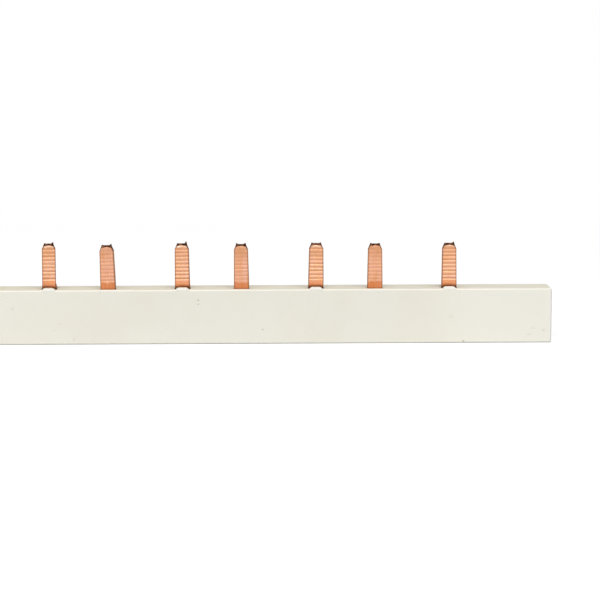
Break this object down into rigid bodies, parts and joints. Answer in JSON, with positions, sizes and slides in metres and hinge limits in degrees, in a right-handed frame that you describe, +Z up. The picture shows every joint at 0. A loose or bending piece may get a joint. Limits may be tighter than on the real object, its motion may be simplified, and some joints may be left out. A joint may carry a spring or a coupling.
{
  "type": "comb busbar",
  "caption": "Insulated pin comb busbar: a straight pale housing with two copper combs inside, whose serrated pins stand in one row to feed a line of modular circuit breakers.",
  "frame": {"origin": "middle of the underside of the bar", "axes": "+X along the bar towards its right end, -Y towards the plain front face, +Z up along the pins"},
  "size_m": [0.2196, 0.009, 0.0272],
  "materials": {
    "housing": "satin moulded cream white plastic",
    "closing_strip": "satin extruded cream white plastic",
    "front_comb": "bare stamped copper, lightly tarnished",
    "rear_comb": "bare stamped copper, lightly tarnished",
    "end_caps": "satin moulded cream white plastic"
  },
  "bodies": {
    "root": {"housing": "housing", "closing_strip": "closing_strip", "front_comb": "front_comb", "rear_comb": "rear_comb", "end_cap_left": "end_caps", "end_cap_right": "end_caps"}
  },
  "joints": []
}
